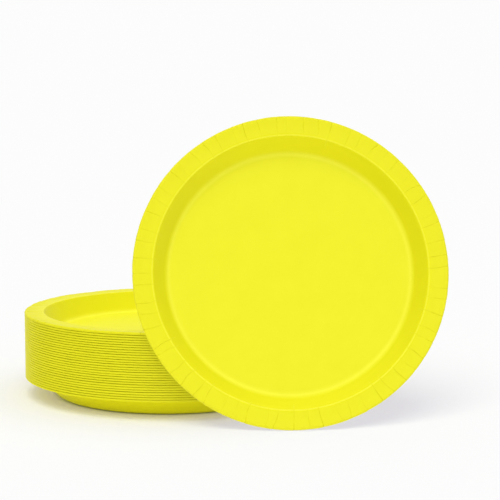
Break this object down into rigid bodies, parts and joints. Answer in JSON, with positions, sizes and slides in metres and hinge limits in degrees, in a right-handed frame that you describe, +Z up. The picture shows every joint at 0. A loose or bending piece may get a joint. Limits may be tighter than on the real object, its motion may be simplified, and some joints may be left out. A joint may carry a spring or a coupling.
{
  "type": "stack of paper plates",
  "caption": "Nested stack of round yellow paper plates with pleated rims, and one more plate that stands on its lip and leans back on the stack.",
  "frame": {"origin": "centre of the bottom plate's foot, on the floor", "axes": "+Z up through the stack; -Y towards the leaning plate's open side, which faces the camera; +X towards the leaning plate"},
  "size_m": [0.316, 0.2615, 0.2212],
  "materials": {
    "paperboard": "smooth dyed paperboard with a faint satin sheen"
  },
  "bodies": {
    "root": {"plate_01": "paperboard", "plate_02": "paperboard", "plate_03": "paperboard", "plate_04": "paperboard", "plate_05": "paperboard", "plate_06": "paperboard", "plate_07": "paperboard", "plate_08": "paperboard", "plate_09": "paperboard", "plate_10": "paperboard", "plate_11": "paperboard", "plate_12": "paperboard", "plate_13": "paperboard", "plate_14": "paperboard", "plate_15": "paperboard", "plate_16": "paperboard", "plate_17": "paperboard", "plate_18": "paperboard", "plate_19": "paperboard", "plate_20": "paperboard", "plate_21": "paperboard", "plate_22": "paperboard", "plate_23": "paperboard", "plate_24": "paperboard", "plate_25": "paperboard", "plate_26": "paperboard", "plate_27": "paperboard", "plate_28": "paperboard", "leaning_plate": "paperboard"}
  },
  "joints": []
}
